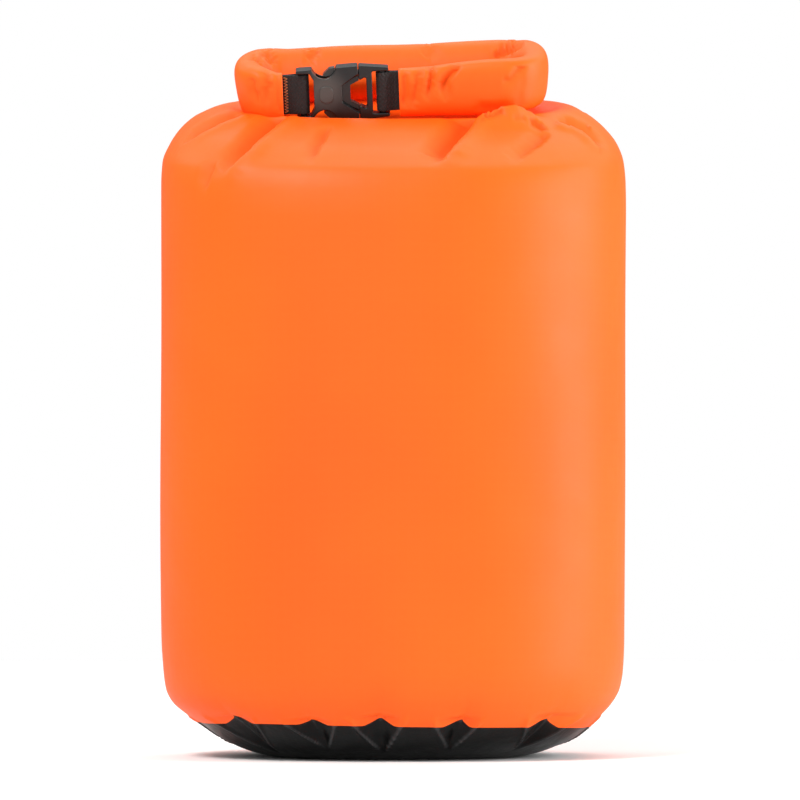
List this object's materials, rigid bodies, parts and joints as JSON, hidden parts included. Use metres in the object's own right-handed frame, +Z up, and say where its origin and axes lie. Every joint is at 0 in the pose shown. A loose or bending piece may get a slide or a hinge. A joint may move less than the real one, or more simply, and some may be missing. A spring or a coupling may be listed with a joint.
{
  "type": "roll-top dry bag",
  "caption": "Filled roll-top dry bag with an oval base, the mouth rolled and bent round into a carry loop that a side-release buckle closes at the front",
  "frame": {"origin": "on the floor under the middle of the base", "axes": "+Z up along the bag's height, -Y the front with the buckle, +X to the right as seen from the front"},
  "size_m": [0.2264, 0.1604, 0.3497],
  "materials": {
    "coated_nylon": "satin coated ripstop nylon, orange",
    "base_cloth": "glossy coated nylon, black",
    "seam_tape": "matte, translucent",
    "stiffener": "satin",
    "webbing": "woven, matte",
    "thread": "twisted thread",
    "acetal": "moulded, satin gloss"
  },
  "bodies": {
    "bag": {"side_wall": "coated_nylon", "base_panel": "base_cloth", "base_seam_tape": "seam_tape", "back_seam_tape": "seam_tape"},
    "carry_loop": {"rolled_mouth_back": "coated_nylon", "rolled_mouth_left": "coated_nylon", "rolled_mouth_bend": "coated_nylon", "outer_strip": "stiffener", "outer_strip_bend": "stiffener", "inner_strip": "stiffener", "inner_strip_bend": "stiffener", "left_webbing": "webbing", "left_bar_tack": "thread", "buckle_socket": "acetal"},
    "plug_end": {"rolled_mouth_right": "coated_nylon", "outer_strip_end": "stiffener", "inner_strip_end": "stiffener", "right_webbing": "webbing", "right_bar_tack": "thread", "buckle_plug": "acetal"},
    "upper_prong": {"upper_prong": "acetal"},
    "lower_prong": {"lower_prong": "acetal"}
  },
  "joints": [
    {"name": "loop_lift", "type": "hinge", "parent": "bag", "child": "carry_loop", "pos_m": [0, 0.014, 0.33451], "axis": [-0.9993, 0, -0.0384], "range_deg": [0, 45]},
    {"name": "buckle_release", "type": "slide", "parent": "carry_loop", "child": "plug_end", "axis": [0.9993, 0, 0.0384], "range_m": [0, 0.026], "deforming": ["rolled_mouth_bend", "outer_strip_bend", "inner_strip_bend", "upper_prong", "lower_prong"]},
    {"name": "upper_prong_press", "type": "hinge", "parent": "plug_end", "child": "upper_prong", "pos_m": [-0.01614, -0.01947, 0.33517], "axis": [0.0099, -0.9659, -0.2586], "range_deg": [0, 8], "stiffness_Nm_per_rad": 0.6},
    {"name": "lower_prong_press", "type": "hinge", "parent": "plug_end", "child": "lower_prong", "pos_m": [-0.0154, -0.01435, 0.31606], "axis": [-0.0099, 0.9659, 0.2586], "range_deg": [0, 8], "stiffness_Nm_per_rad": 0.6}
  ]
}
